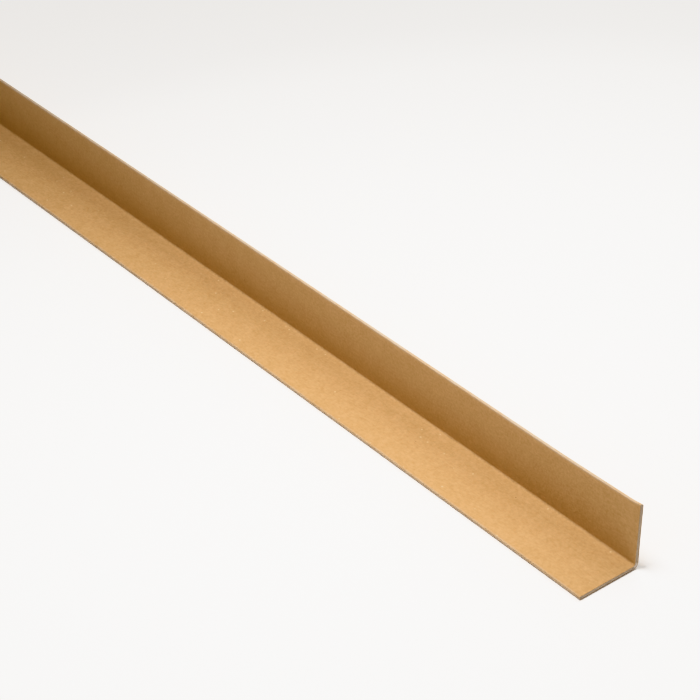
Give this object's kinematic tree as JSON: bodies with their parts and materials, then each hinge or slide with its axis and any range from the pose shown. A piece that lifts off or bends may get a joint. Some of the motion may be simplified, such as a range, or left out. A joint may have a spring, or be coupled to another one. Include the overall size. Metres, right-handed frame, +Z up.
{
  "type": "pallet edge protector",
  "caption": "Straight L-shaped angle board of laminated kraft paper, folded lengthwise, that shields the edges of a pallet load from straps and knocks.",
  "frame": {"origin": "middle of the bounding box, at floor level", "axes": "+X along the fold, +Y across the lying leg towards the standing leg, +Z up"},
  "size_m": [1, 0.05, 0.05],
  "materials": {
    "kraft_board": "matte unprinted kraft liner, with grey-brown plies at the cut ends"
  },
  "bodies": {
    "root": {"edge_board": "kraft_board"}
  },
  "joints": []
}
